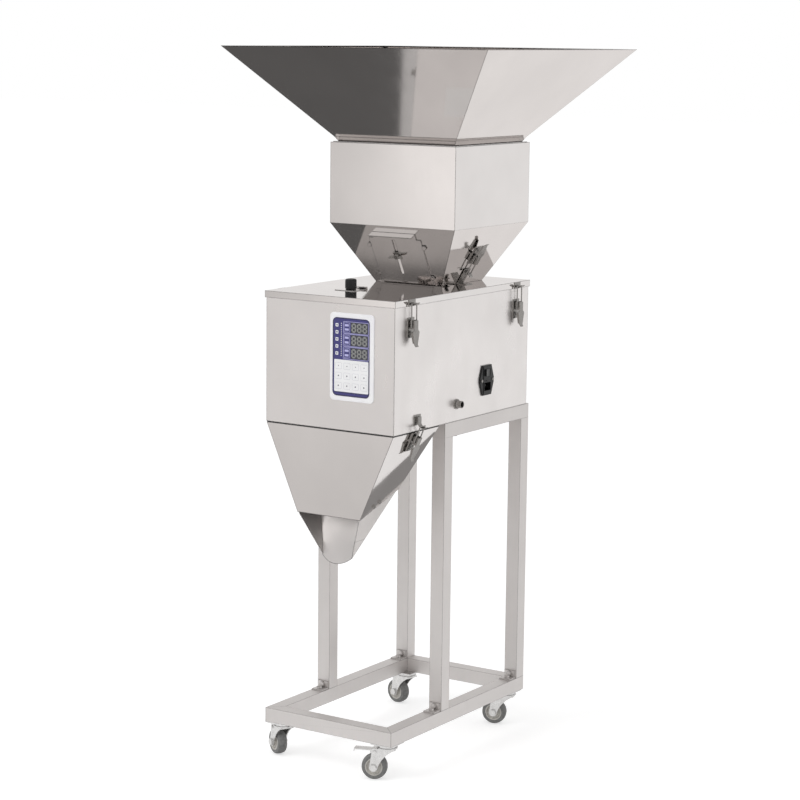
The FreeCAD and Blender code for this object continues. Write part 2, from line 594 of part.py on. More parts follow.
wings = [
    taper("x", "gate_x + 3", (-9, -4.2, -67.5, -62.5), "gate_x + 15", (-13.5, -8, -66.5, -63.5)),
    taper("x", "gate_x - 15", (-13.5, -8, -66.5, -63.5), "gate_x - 3", (-9, -4.2, -67.5, -62.5))]
wing_screw = fuse(
    rod("y", "gate_x", -10, -65, 3, 18),
    rod("y", "gate_x", -9.5, -65, 5, 7.6),
    rod("y", "gate_x", -3.2, -65, 8, 1.3), *wings)
piece("wing_screw", on_face(wing_screw))

NECK_Z = "bin_top + sheet"
FLARE_Z = "bin_top + sheet + neck_h"
WIDE_X = "neck_w + 2 * neck_flare"
WIDE_Y = "neck_d + 2 * neck_flare"
hop_outer = fuse(
    straight("neck_w", "neck_d", "0", "bin_top - 26", NECK_Z),
    straight(WIDE_X, WIDE_Y, "1", "bin_top", NECK_Z),
    sloped("neck_w", "neck_d", NECK_Z, WIDE_X, WIDE_Y, FLARE_Z, "0"),
    sloped(WIDE_X, WIDE_Y, FLARE_Z, "hop_w", "hop_d", "hop_z", "0"))
hop_inner = fuse(
    straight("neck_w", "neck_d", "-sheet", "bin_top - 27", NECK_Z),
    sloped("neck_w", "neck_d", NECK_Z, WIDE_X, WIDE_Y, FLARE_Z, "-sheet"),
    sloped(WIDE_X, WIDE_Y, FLARE_Z, "hop_w", "hop_d", "hop_z", "-sheet * 1.3"))
hem = cut(straight("hop_w", "hop_d", "-2.2", "hop_z - 1.5", "hop_z + 2"),
          straight("hop_w", "hop_d", "-7", "hop_z - 3", "hop_z + 3"))
above_rim = box(-2000, 2000, -2000, 2000, "hop_z", "hop_z + 9")
piece("big_hopper", fuse(cut(hop_outer, hop_inner), cut(hem, above_rim)))

# Funnel under the housing, with a nozzle inside its foot

SIDE_WALL = "sheet * sqrt(1 + side_run ^ 2)"
BACK_WALL = "sheet * sqrt(1 + back_run ^ 2)"
FOOT_Z = "noz_z - 6"


def chute(layers, front, top):
    """Solid funnel, its side and back walls moved in by a number of sheets."""
    def level(z):
        half = "house_w / 2 - side_run * (house_z - (%s)) - %s * %s" % (z, layers, SIDE_WALL)
        back = y_at("fun_d - back_run * (house_z - (%s)) - %s * %s" % (z, layers, BACK_WALL))
        return ("-(%s)" % half, half, y_at(front), back)
    return taper("z", FOOT_Z, level(FOOT_Z), top, level(top))


def seam_cut(points):
    """Block across the whole width from an outline of (distance back, height)."""
    body = padded([(y_at(y), z) for y, z in points], 400)
    return place(body, -200, 0, 0, 90, 0, 90)


SEAM_BACK = "fun_front + seam_run * 200"
below_seam = seam_cut([("-10", FOOT_Z + " - 9"), ("200", FOOT_Z + " - 9"), ("200", SEAM_BACK),
                       ("0", "fun_front"), ("-10", "fun_front")])
side_holes = []
FIX = ((30, 24), (44, 31))


def side_frame(thing, side, back, up, roll=0):
    """Put a piece made along +Z on the funnel's side wall, pointing outwards."""
    x = "house_w / 2 - side_run * (house_z - fun_front - %s)" % up
    sign = "" if side > 0 else "-"
    return place(thing, "%s(%s)" % (sign, x), y_at(str(back)), "fun_front + %s" % up,
                 0 if side > 0 else 180, "90 deg + atan(side_run)", roll)


for side in (1, -1):
    for back, up in FIX:
        side_holes.append(side_frame(rod("z", 0, 0, -5, 2.3, 8), side, back, up))
FUNNEL_TOP = "house_z - seal"
piece("funnel", cut(chute(0, "0", FUNNEL_TOP), chute(1, "sheet", "house_z + 1"), below_seam, *side_holes))
piece("funnel_seal", cut(chute(0.35, "0.5", "house_z"), chute(1, "sheet", "house_z + 1"),
                         box(-200, 200, y_at("-9"), y_at("300"), FOOT_Z + " - 9", FUNNEL_TOP)))

tongue = "fun_d - back_run * (house_z - (%s)) - 2 * " + BACK_WALL
front_cut = seam_cut([("-20", FOOT_Z + " - 9"), (tongue % (FOOT_Z + " - 9"), FOOT_Z + " - 9"),
                      (tongue % "noz_z + 14", "noz_z + 14"), ("0", "fun_front"), ("-20", "fun_front")])
above_seam = seam_cut([("-20", "fun_front + 18"), ("0", "fun_front + 18"), ("200", SEAM_BACK + " + 18"),
                       ("200", "house_z + 20"), ("-20", "house_z + 20")])
rounded = fuse(rod("y", 0, y_at("-30"), "noz_z + 50", 50, 300),
               box(-160, 160, y_at("-30"), y_at("270"), "noz_z + 50", "house_z"))
nozzle_holes = []
for side in (1, -1):
    for back, up in FIX:
        nozzle_holes.append(side_frame(rod("z", 0, 0, -6, 2.3, 9), side, back, up))
scoop = cut(chute(1, "sheet", FUNNEL_TOP), chute(2, "-9", "house_z + 1"),
            front_cut, above_seam, *nozzle_holes)
piece("nozzle", common(scoop, rounded))

for side in (1, -1):
    for back, up in FIX:
        screws.append(side_frame(fuse(rod("z", 0, 0, -7, 2, 8), rod("z", 0, 0, 0, 4, 2.6),
                                      hexagon("z", 0, 0, "-2 * sheet - 3.2", 4, 3.2)),
                                 side, back, up))
piece("fixings", group(*bolts, *screws))

# Toggle latches: X outwards from the wall, Z towards the catch, the pivot at height 0


BIN_LEAN = "(bin_w - out_w) / 2 / (bin_z - lid_z)"


def latch_frames():
    """Name, placement, reach and catch of each latch."""
    frames = []
    for side, yaw in (("right", 0), ("left", 180)):
        sign = "" if side == "right" else "-"
        for end, back in (("front", "52"), ("rear", "house_d - 48")):
            frames.append(("lid_%s_%s" % (end, side), (sign + "house_w / 2", y_at(back),
                          "lid_z - 8 - reach_lid", yaw, 0, 0), "reach_lid", "lid"))
        frames.append(("funnel_" + side, (sign + "(house_w / 2 - side_run * 11)", y_at("78"),
                      "house_z - 11", yaw, "atan(side_run)", 0), "reach_fun", "funnel"))
        frames.append(("hopper_" + side, (sign + "(bin_w / 2 - %s * 67.4)" % BIN_LEAN, y_at("330"),
                      "bin_z - 67.4", yaw, "atan(%s)" % BIN_LEAN, 180), "reach_bin", "hopper"))
    return frames


def beside(name, x0, x1, y0, y1, z0, z1):
    """Block on the latch's own side of the machine."""
    if name.endswith("left"):
        x0, x1 = "-(%s)" % x1, "-(%s)" % x0
    return box(x0, x1, y_at(y0), y_at(y1), z0, z1)


fixtures = []
for name, frame, reach, kind in latch_frames():
    low_rivet = [rod("x", 0, dy, -22, 2.5, 2.4) for dy in (-5.5, 5.5)]
    ears = []
    for y0, y1 in ((3.2, 4.7), (-4.7, -3.2)):
        ears.append(box(1.4, 8, y0, y1, -6, 0))
        ears.append(rod("y", 8, y0, 0, 3.8, 1.5))
    pivot = rod("y", 8, -6.4, 0, 1.5, 12.8)
    fixtures.append(place(fuse(box(0, 1.5, -11, 11, -30, 8), pivot, *low_rivet, *ears), *frame))

    flanges = []
    for y0, y1 in ((4.9, 6.2), (-6.2, -4.9)):
        flanges.append(box(3, 12.1, y0, y1, -13, 3))
    web = [
        box(12, 13.3, -6.2, 6.2, -14, 3),
        taper("z", -19, (12, 13.3, -11, 11), -14, (12, 13.3, -6.2, 6.2)),
        taper("z", -42, (12, 13.3, -5.5, 5.5), -19, (12, 13.3, -11, 11)),
        taper("z", -46, (14.5, 15.8, -4.5, 4.5), -42, (12, 13.3, -5.5, 5.5))]
    lips = [taper("z", -40, (9, 12.1, -5.6, -4.4), -19, (8, 12.1, -11, -9.8)),
            taper("z", -40, (9, 12.1, 4.4, 5.6), -19, (8, 12.1, 9.8, 11))]
    eye = [rod("y", 8, -7, 0, 1.6, 14), rod("y", 8, -7, "-arm", "wire / 2 + 0.08", 14)]
    piece("latch_lever_" + name, place(cut(fuse(*web, *flanges, *lips), *eye), *frame))

    legs_y = (-8.3, 8.3)
    wires = [rod("y", 8, -8.3, reach, "wire / 2", 16.6)]
    for y in legs_y:
        wires.append(rod("z", 8, y, "-arm", "wire / 2", "%s + arm" % reach))
        wires.append(ball(8, y, "-arm", "wire / 2"))
        wires.append(ball(8, y, reach, "wire / 2"))
        wires.append(rod("y", 8, min(y, y / 8.3 * 5), "-arm", "wire / 2", 3.3))
    piece("latch_bail_" + name, place(fuse(*wires), *frame))

    gap = "arm + wire / 2 + 0.3"
    start = {"lid": -118, "funnel": -180, "hopper": -124}[kind]
    sweep = -40 - start
    outer = place(rod("z", 0, 0, 0, gap + " + 1.4", 11, sweep), 8, 5.5, "%s + arm" % reach, 0, -start, 90)
    hook = cut(outer, rod("y", 8, -6.5, "%s + arm" % reach, gap, 13))
    if kind == "lid":
        pad = box("lid_over", "lid_over + 1.4", -11, 11, reach + " - 5", reach + " + 8")
        fixtures.append(place(fuse(hook, pad), *frame))
    elif kind == "funnel":
        strap = beside(name, "house_w / 2", "house_w / 2 + 1.4", "67", "89", "house_z + 11", "house_z + 31")
        spacer = beside(name, "house_w / 2", "house_w / 2 + 6.6", "72.5", "83.5",
                        "house_z + 17", "house_z + 27")
        fixtures.append(fuse(place(hook, *frame), strap, spacer))
    else:
        post = box(1.2, 2.6, -11, 11, reach + " - 8",
                   "(bin_z - lid_z - 67.4) * sqrt(1 + (%s) ^ 2) - 1.6" % BIN_LEAN)
        foot = beside(name, "out_w / 2 + 1.8", "out_w / 2 + 24", "319", "341", "lid_z", "lid_z + 1.6")
        fixtures.append(fuse(place(fuse(hook, post), *frame), foot))
piece("latch_fixtures", group(*fixtures))

# Inside the housing: vibrating feeder, weigh bucket on its load cell, and the control board

FLOOR = "house_z + sheet"
tray = cut(
    box("-tray_w / 2", "tray_w / 2", y_at("104"), y_at("420"), "tray_z - sheet", "tray_z + 48"),
    box("-tray_w / 2 + sheet", "tray_w / 2 - sheet", y_at("100"), y_at("420 - sheet"),
        "tray_z", "tray_z + 50"))
piece("feeder_tray", tray)

springs = []
for back in ("246", "346"):
    springs.append(box(-28, 28, y_at(back), y_at(back + " + 2.4"), FLOOR + " + 84", "tray_z - sheet - 10"))
    springs.append(box(-32, 32, y_at(back + " - 6"), y_at(back), FLOOR + " + 84", FLOOR + " + 104"))
    springs.append(box(-32, 32, y_at(back + " - 6"), y_at(back + " + 8"),
                       "tray_z - sheet - 10", "tray_z - sheet"))
magnet = fuse(box(-24, 24, y_at("276"), y_at("320"), FLOOR + " + 84", FLOOR + " + 128"),
              box(-14, 14, y_at("286"), y_at("310"), FLOOR + " + 128", FLOOR + " + 140"))
armature = box(-20, 20, y_at("280"), y_at("316"), "tray_z - sheet - 8", "tray_z - sheet")
feet = [rod("z", x, y_at(y), FLOOR, 12, 14) for x in (-44, 44) for y in ("236", "362")]
piece("feeder_drive", group(box(-60, 60, y_at("218"), y_at("380"), FLOOR + " + 14", FLOOR + " + 84"),
                            magnet, armature, *springs, *feet))

CELL_X = ("house_w / 2 - 50", "house_w / 2 - 28")
CELL_MID = "bucket_z + 41"
cell = cut(
    box(*CELL_X, y_at("122"), y_at("252"), CELL_MID + " - 11", CELL_MID + " + 11"),
    rod("x", CELL_X[0] + " - 6", y_at("178"), CELL_MID, 8, 34),
    rod("x", CELL_X[0] + " - 6", y_at("196"), CELL_MID, 8, 34),
    box(CELL_X[0] + " - 6", CELL_X[1] + " + 6", y_at("178"), y_at("196"),
        CELL_MID + " - 2.5", CELL_MID + " + 2.5"))
stand = box(*CELL_X, y_at("222"), y_at("252"), FLOOR, CELL_MID + " - 11")
piece("load_cell", group(cell, stand))

SIDE_X = "bucket_w / 2"
PIVOT_Y = y_at("127")
PIVOT_Z = "bucket_z - 6"
cup = cut(
    box("-" + SIDE_X, SIDE_X, y_at("25"), y_at("125"), "bucket_z", "bucket_top"),
    box("-%s + 1.2" % SIDE_X, SIDE_X + " - 1.2", y_at("26.2"), y_at("123.8"),
        "bucket_z - 1", "bucket_top + 1"))
cheeks = [box("-%s - 1.2" % SIDE_X, "-" + SIDE_X, y_at("100"), y_at("150"), "bucket_z - 26", "bucket_z + 34"),
          box(SIDE_X, SIDE_X + " + 1.2", y_at("100"), y_at("150"), "bucket_z - 26", "bucket_z + 55.2")]
shelf = box(SIDE_X, CELL_X[1], y_at("122"), y_at("146"), "bucket_z + 52", "bucket_z + 55.2")
stud = rod("x", SIDE_X + " - 10", PIVOT_Y, PIVOT_Z, 2.4, 11)
bearing = rod("x", "-%s - 3" % SIDE_X, PIVOT_Y, PIVOT_Z, 2.6, 6)
piece("weigh_bucket", cut(fuse(cup, shelf, stud, *cheeks), bearing))

door = fuse(box("-%s" % SIDE_X, SIDE_X, y_at("24"), y_at("127"), "bucket_z - 3.4", "bucket_z - 2.2"),
            rod("x", "-%s + 1.5" % SIDE_X, PIVOT_Y, PIVOT_Z, 4, "bucket_w - 3"))
piece("bucket_door", cut(door, rod("x", "-%s" % SIDE_X, PIVOT_Y, PIVOT_Z, 2.5, 14),
                         rod("x", SIDE_X + " - 14", PIVOT_Y, PIVOT_Z, 2.5, 20)))

motor = fuse(rod("x", "-%s - 38" % SIDE_X, PIVOT_Y, PIVOT_Z, 15, 36.8),
             rod("x", "-%s - 60" % SIDE_X, PIVOT_Y, PIVOT_Z, 12, 24),
             rod("x", "-%s - 2" % SIDE_X, PIVOT_Y, PIVOT_Z, 2.4, 13))
piece("door_motor", motor)

board = box("plate_x - 42", "plate_x + 42", y_at("7"), y_at("8.6"), "plate_z + 8", "plate_z + plate_h - 13")
standoffs = [rod("y", "plate_x %+d" % dx, y_at("sheet"), z, 3, "7 - sheet")
             for dx in (-37, 37) for z in ("plate_z + 13", "plate_z + plate_h - 18")]
blocks = [box("plate_x - 36", "plate_x - 12", y_at("8.6"), y_at("21"), "plate_z + 20", "plate_z + 56"),
          box("plate_x + 4", "plate_x + 22", y_at("8.6"), y_at("22"), "plate_z + 22", "plate_z + 38"),
          box("plate_x + 4", "plate_x + 22", y_at("8.6"), y_at("22"), "plate_z + 42", "plate_z + 58"),
          box("plate_x - 34", "plate_x + 30", y_at("8.6"), y_at("17"),
              "plate_z + plate_h - 35", "plate_z + plate_h - 23")]
piece("control_board", group(board, *standoffs, *blocks))

doc.recompute()
for thing in PARTS:
    if "Invalid" in thing.State or thing.Shape.isNull() or not thing.Shape.isValid():
        raise SystemExit("bad piece: " + thing.Label)
for thing in PARTS:
    thing.Shape.exportStep("parts/%s.step" % thing.Label)
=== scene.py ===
import bpy
import json
import math
import numpy as np
from mathutils import Matrix, Vector


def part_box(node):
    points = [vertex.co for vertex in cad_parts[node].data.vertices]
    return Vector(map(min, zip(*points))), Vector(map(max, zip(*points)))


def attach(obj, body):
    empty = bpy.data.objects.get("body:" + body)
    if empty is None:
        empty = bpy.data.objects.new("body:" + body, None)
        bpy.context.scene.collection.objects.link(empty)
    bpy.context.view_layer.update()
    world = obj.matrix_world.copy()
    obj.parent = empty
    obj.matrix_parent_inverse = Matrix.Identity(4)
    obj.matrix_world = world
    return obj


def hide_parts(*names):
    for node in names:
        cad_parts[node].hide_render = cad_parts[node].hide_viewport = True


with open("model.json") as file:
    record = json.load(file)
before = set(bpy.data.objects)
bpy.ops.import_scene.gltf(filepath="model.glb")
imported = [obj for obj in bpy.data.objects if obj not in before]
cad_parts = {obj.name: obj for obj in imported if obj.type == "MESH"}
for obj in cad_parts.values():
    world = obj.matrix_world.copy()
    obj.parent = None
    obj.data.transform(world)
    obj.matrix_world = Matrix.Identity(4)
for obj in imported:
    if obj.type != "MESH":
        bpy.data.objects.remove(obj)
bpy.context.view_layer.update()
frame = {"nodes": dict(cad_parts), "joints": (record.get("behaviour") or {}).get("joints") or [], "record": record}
NODES = frame["nodes"]
MM = 0.001

# Camera, at the photograph's viewing angle

EYE = Vector((2.4644, -3.8036, 1.4049))
YAW, PITCH, ROLL = math.radians(33.41), math.radians(9.07), math.radians(0.62)
LENS_PX, PICTURE_PX, SENSOR_MM = 2314.25, 800, 36.0


def aim_camera():
    """Perspective camera from its yaw, downward pitch and roll.

    forward = (-sin yaw cos pitch, cos yaw cos pitch, -sin pitch), and the picture's own
    right and up axes turn about it by the roll.
    """
    forward = Vector((-math.sin(YAW) * math.cos(PITCH), math.cos(YAW) * math.cos(PITCH), -math.sin(PITCH)))
    sideways = Vector((math.cos(YAW), math.sin(YAW), 0.0))
    upright = sideways.cross(forward)
    right = math.cos(ROLL) * sideways + math.sin(ROLL) * upright
    up = -math.sin(ROLL) * sideways + math.cos(ROLL) * upright
    camera = bpy.data.objects.new("camera", bpy.data.cameras.new("camera"))
    bpy.context.scene.collection.objects.link(camera)
    turn = Matrix((right, up, -forward)).transposed().to_4x4()
    camera.matrix_world = Matrix.Translation(EYE) @ turn
    camera.data.sensor_width = SENSOR_MM
    camera.data.lens = LENS_PX / PICTURE_PX * SENSOR_MM
    camera.data.clip_end = 100.0
    bpy.context.scene.camera = camera


aim_camera()

# Materials, as nodes on object coordinates

FACTOR, COLOR_A, COLOR_B, MIXED = 0, 6, 7, 2
EVEN, ALONG_Y, ALONG_Z = (1.0, 1.0, 1.0), (1.0, 90.0, 1.0), (1.0, 1.0, 90.0)
CLEAR, PLAIN = (0.3, 0.7), (0.0, 1.0)


def linear(code):
    """Linear colour of an sRGB hex code."""
    def channel(text):
        v = int(text, 16) / 255.0
        return v / 12.92 if v <= 0.04045 else ((v + 0.055) / 1.055) ** 2.4
    code = code.lstrip("#")
    return (channel(code[0:2]), channel(code[2:4]), channel(code[4:6]), 1.0)


def changed(tone, share, more=0.0):
    """A linear colour times a share, plus a little white."""
    return tuple(min(1.0, c * share + more) for c in tone[:3]) + (1.0,)


def fill(tree, node, inputs):
    """Link or set the inputs of a node, as {socket: output or value}."""
    for key, value in inputs.items():
        if isinstance(value, bpy.types.NodeSocket):
            tree.links.new(value, node.inputs[key])
        else:
            node.inputs[key].default_value = value


def add_node(tree, kind, inputs=None, **settings):
    """Node of a kind with its settings, and its inputs linked or set."""
    node = tree.nodes.new(kind)
    for key, value in settings.items():
        setattr(node, key, value)
    fill(tree, node, inputs or {})
    return node


class Finish:
    """Material of one finish, with the object coordinates in millimetres."""

    def __init__(self, name):
        self.material = bpy.data.materials.new(name)
        self.material.use_nodes = True
        self.tree = self.material.node_tree
        place = self.add("ShaderNodeTexCoord").outputs["Object"]
        self.mm = self.add("ShaderNodeVectorMath", {0: place, "Scale": 1000.0}, operation="SCALE").outputs[0]

    def add(self, kind, inputs=None, **settings):
        """Node in this material."""
        return add_node(self.tree, kind, inputs, **settings)

    def blobs(self, size, low=0.0, high=1.0, detail=3.0, stretch=EVEN, part=CLEAR):
        """Noise from low to high whose blobs measure size millimetres, times stretch along each axis.

        The noise between the two values of part takes the whole way from low to high.
        """
        cell = tuple(size * s for s in stretch)
        where = self.add("ShaderNodeVectorMath", {0: self.mm, 1: cell}, operation="DIVIDE").outputs[0]
        noise = self.add("ShaderNodeTexNoise", {"Vector": where, "Scale": 1.0, "Detail": detail})
        way = {"Value": noise.outputs["Fac"], "From Min": part[0], "From Max": part[1], "To Min": low,
               "To Max": high}
        return self.add("ShaderNodeMapRange", way).outputs["Result"]

    def corner(self, radius):
        """1 on a folded or ground corner, and 0 on the flat from about radius millimetres away."""
        soft = self.add("ShaderNodeBevel", {"Radius": radius * MM}, samples=6).outputs["Normal"]
        hard = self.add("ShaderNodeNewGeometry").outputs["Normal"]
        alike = self.add("ShaderNodeVectorMath", {0: soft, 1: hard}, operation="DOT_PRODUCT").outputs["Value"]
        way = {"Value": alike, "From Min": 0.94, "From Max": 0.995, "To Min": 1.0, "To Max": 0.0}
        return self.add("ShaderNodeMapRange", way).outputs["Result"]

    def done(self, **inputs):
        """Give the material, with the shader's inputs by their names, _ standing for a space."""
        named = {key.replace("_", " "): value for key, value in inputs.items()}
        fill(self.tree, self.tree.nodes["Principled BSDF"], named)
        return self.material


def polished_sheet(name, code, rough, wave):
    """Stainless sheet, bright polished, which mirrors what stands around it with a slight wave.

    The waves are 260 mm long and wave millimetres deep. The buffing marks run up the sheet and are drawn
    1.6 mm apart, because real ones are too fine to show. Every corner is painted darker in a thin line:
    painted shade, standing in for the dark of the room that the corner's small radius would gather.
    """
    finish = Finish(name)
    tone = linear(code)
    drift = {FACTOR: finish.blobs(140), COLOR_A: changed(tone, 0.93), COLOR_B: tone}
    flat = finish.add("ShaderNodeMix", drift, data_type="RGBA").outputs[MIXED]
    # Painted shade: the corners are painted 0.22 as dark as the tone, in a thin line
    painted_corner_shade = {FACTOR: finish.corner(2.1), COLOR_A: flat, COLOR_B: changed(tone, 0.22)}
    color = finish.add("ShaderNodeMix", painted_corner_shade, data_type="RGBA").outputs[MIXED]
    smear = finish.blobs(45, rough * 0.75, rough * 1.35, 4, (1.0, 1.0, 2.2))
    scatter = finish.blobs(1.6, -0.012, 0.012, 2, (1.0, 1.0, 40.0))
    roughness = finish.add("ShaderNodeMath", {0: smear, 1: scatter}, operation="ADD").outputs[0]
    waves = {"Height": finish.blobs(260, detail=1, part=PLAIN), "Distance": wave * MM, "Strength": 1.0}
    waved = finish.add("ShaderNodeBump", waves).outputs["Normal"]
    marks = finish.blobs(1.6, detail=2, stretch=(1.0, 1.0, 40.0), part=PLAIN)
    buffing = {"Height": marks, "Distance": 0.0006 * MM, "Strength": 1.0, "Normal": waved}
    normal = finish.add("ShaderNodeBump", buffing).outputs["Normal"]
    return finish.done(Base_Color=color, Roughness=roughness, Normal=normal, Metallic=1.0)


def brushed_tube(name, code):
    """Stainless square tube with the fine lengthwise grain of a satin belt, and edges painted darker as painted
    shade.

    The grain is drawn 0.7 mm apart, because the real one is too fine to show.
    """
    finish = Finish(name)
    tone = linear(code)
    upward = finish.blobs(0.7, detail=2, stretch=ALONG_Z, part=PLAIN)
    level_way = finish.blobs(0.7, detail=2, stretch=ALONG_Y, part=PLAIN)
    both = finish.add("ShaderNodeMath", {0: upward, 1: level_way}, operation="ADD").outputs[0]
    grain = finish.add("ShaderNodeMath", {0: both, 1: 0.5}, operation="MULTIPLY").outputs[0]
    drift = {FACTOR: finish.blobs(90), COLOR_A: changed(tone, 0.96), COLOR_B: tone}
    flat = finish.add("ShaderNodeMix", drift, data_type="RGBA").outputs[MIXED]
    # Painted shade: the tube's corners are painted 0.45 as dark as the tone
    edge = {FACTOR: finish.corner(1.6), COLOR_A: flat, COLOR_B: changed(tone, 0.45)}
    color = finish.add("ShaderNodeMix", edge, data_type="RGBA").outputs[MIXED]
    way = {"Value": grain, "From Min": 0.4, "From Max": 0.6, "To Min": 0.44, "To Max": 0.52}
    belt = finish.add("ShaderNodeMapRange", way).outputs["Result"]
    handled = finish.blobs(60, -0.02, 0.02)
    roughness = finish.add("ShaderNodeMath", {0: belt, 1: handled}, operation="ADD").outputs[0]
    relief = finish.add("ShaderNodeBump", {"Height": grain, "Distance": 0.002 * MM, "Strength": 1.0})
    return finish.done(Base_Color=color, Roughness=roughness, Normal=relief.outputs["Normal"], Metallic=1.0)


def plated(name, code):
    """Plated or milled metal, a little cloudy in spots of 7 mm."""
    finish = Finish(name)
    tone = linear(code)
    clouds = {FACTOR: finish.blobs(7), COLOR_A: changed(tone, 0.86), COLOR_B: tone}
    color = finish.add("ShaderNodeMix", clouds, data_type="RGBA").outputs[MIXED]
    pits = {"Height": finish.blobs(0.8, part=PLAIN), "Distance": 0.0015 * MM, "Strength": 1.0}
    normal = finish.add("ShaderNodeBump", pits).outputs["Normal"]
    roughness = finish.blobs(3, 0.2, 0.36, 4)
    return finish.done(Base_Color=color, Roughness=roughness, Normal=normal, Metallic=1.0)


def rubber(name, code):
    """Moulded rubber, matt and faintly dusty."""
    finish = Finish(name)
    tone = linear(code)
    dust = {FACTOR: finish.blobs(5, detail=5), COLOR_A: tone, COLOR_B: changed(tone, 1.35, 0.02)}
    color = finish.add("ShaderNodeMix", dust, data_type="RGBA").outputs[MIXED]
    skin = {"Height": finish.blobs(0.5, detail=4, part=PLAIN), "Distance": 0.03 * MM, "Strength": 1.0}
    normal = finish.add("ShaderNodeBump", skin).outputs["Normal"]
    roughness = finish.blobs(2, 0.62, 0.8, 4)
    return finish.done(Base_Color=color, Roughness=roughness, Normal=normal, Specular_IOR_Level=0.35)


def moulded(name, code, rough=0.35, grain=0.012, shine=0.5):
    """Moulded plastic or printed film with a fine grain, grain millimetres deep and 0.35 mm wide."""
    finish = Finish(name)
    tone = linear(code)
    shades = {FACTOR: finish.blobs(30), COLOR_A: tone, COLOR_B: changed(tone, 1.06, 0.002)}
    color = finish.add("ShaderNodeMix", shades, data_type="RGBA").outputs[MIXED]
    skin = {"Height": finish.blobs(0.35, part=PLAIN), "Distance": grain * MM, "Strength": 1.0}
    normal = finish.add("ShaderNodeBump", skin).outputs["Normal"]
    roughness = finish.blobs(0.9, rough - 0.04, rough + 0.06)
    return finish.done(Base_Color=color, Roughness=roughness, Normal=normal, Specular_IOR_Level=shine)


def enamelled(name, code, rough=0.42):
    """Stove enamel on a motor or drive case, with a slight orange peel of 1.6 mm."""
    finish = Finish(name)
    tone = linear(code)
    shades = {FACTOR: finish.blobs(22), COLOR_A: tone, COLOR_B: changed(tone, 1.12)}
    color = finish.add("ShaderNodeMix", shades, data_type="RGBA").outputs[MIXED]
    peel = {"Height": finish.blobs(1.6, detail=2, part=PLAIN), "Distance": 0.02 * MM, "Strength": 1.0}
    normal = finish.add("ShaderNodeBump", peel).outputs["Normal"]
    return finish.done(Base_Color=color, Roughness=finish.blobs(4, rough - 0.05, rough + 0.05), Normal=normal)


def circuit_board(name):
    """Green solder mask with faint copper tracks under it, 2.6 mm apart."""
    finish = Finish(name)
    pitch = (2.6, 2.6, 2.6)
    where = finish.add("ShaderNodeVectorMath", {0: finish.mm, 1: pitch}, operation="DIVIDE").outputs[0]
    cells = finish.add("ShaderNodeTexVoronoi", {"Vector": where, "Scale": 1.0}, distance="MANHATTAN")
    way = {"Value": cells.outputs["Distance"], "From Min": 0.32, "From Max": 0.4, "To Min": 1.0, "To Max": 0.0}
    track = finish.add("ShaderNodeMapRange", way).outputs["Result"]
    greens = {FACTOR: track, COLOR_A: linear("#0f3d22"), COLOR_B: linear("#1c5c34")}
    color = finish.add("ShaderNodeMix", greens, data_type="RGBA").outputs[MIXED]
    relief = finish.add("ShaderNodeBump", {"Height": track, "Distance": 0.03 * MM, "Strength": 1.0})
    roughness = finish.blobs(6, 0.28, 0.4)
    return finish.done(Base_Color=color, Roughness=roughness, Normal=relief.outputs["Normal"])


# Stainless steel sheet, bright rolled and folded: a blurred mirror of the room
SHEET = polished_sheet("polished_stainless", "#e1dddb", 0.32, 0.2)
# Stainless steel sheet, buffed to a mirror after welding: clear dark and pale zones
MIRROR = polished_sheet("mirror_stainless", "#ddd9d7", 0.06, 0.35)
# Stainless steel sheet, brushed: a broad pale gleam and no image
SATIN = polished_sheet("satin_stainless", "#dedad8", 0.42, 0.2)
# Stainless steel square tube, ground with a belt along its length: pale and even
TUBE = brushed_tube("satin_tube", "#cfcbc9")
# Pressed steel, bright zinc plated: cloudy, near white
ZINC = plated("zinc_plate", "#d6d5d4")
# Pressed steel, nickel plated and polished: darker, with hard gleams
CHROME = plated("polished_latch", "#918e8b")
# Grey thermoplastic rubber, moulded: matt and dusty
TYRE = rubber("grey_rubber", "#747473")
# Black nitrile rubber, cut from sheet: matt
SEAL = rubber("black_seal", "#161616")
# Light grey nylon, moulded: satin
HUB = moulded("grey_nylon", "#c6c3bd", 0.4)
# White ABS, moulded: satin, clean
PLATE = moulded("white_plastic", "#f9f8fc", 0.38)
# Black glass-filled nylon, moulded: fine grain, weak gleam
BLACK = moulded("black_plastic", "#121213", 0.3, 0.012, 0.3)
# Polyester membrane, printed violet on its back: smooth
FILM = moulded("violet_film", "#3b3879", 0.3, 0.006)
# Aluminium, milled: pale and cloudy
ALLOY = plated("milled_aluminium", "#c6c8ca")
# Glass-epoxy board under solder mask: green and glossy
BOARD = circuit_board("circuit_board")
# Steel case, stove enamelled: dark grey with orange peel
MOTOR = enamelled("motor_enamel", "#4a4e52")

LOOKS = {
    "stainless": SHEET, "tube": TUBE, "zinc": ZINC, "tyre": TYRE, "panel_white": PLATE, "panel_blue": FILM,
    "black_plastic": BLACK, "alloy": ALLOY, "seal": SEAL, "board": BOARD, "motor": MOTOR,
}
MIRRORED = ("big_hopper", "upper_hopper", "lid", "gate_plate", "lid_flap", "funnel")
NICKELLED = ("latch_fixtures", "latch_lever", "latch_bail", "wing_screw", "fixings", "signal_socket")
OWN_LOOK = {"nozzle": SATIN, "foot_brackets": TUBE}
OWN_LOOK.update({name: MIRROR for name in MIRRORED})
OWN_LOOK.update({name: CHROME for name in NODES if name.startswith(NICKELLED)})

# Carried-over CAD pieces: real finish, and slightly broken edges

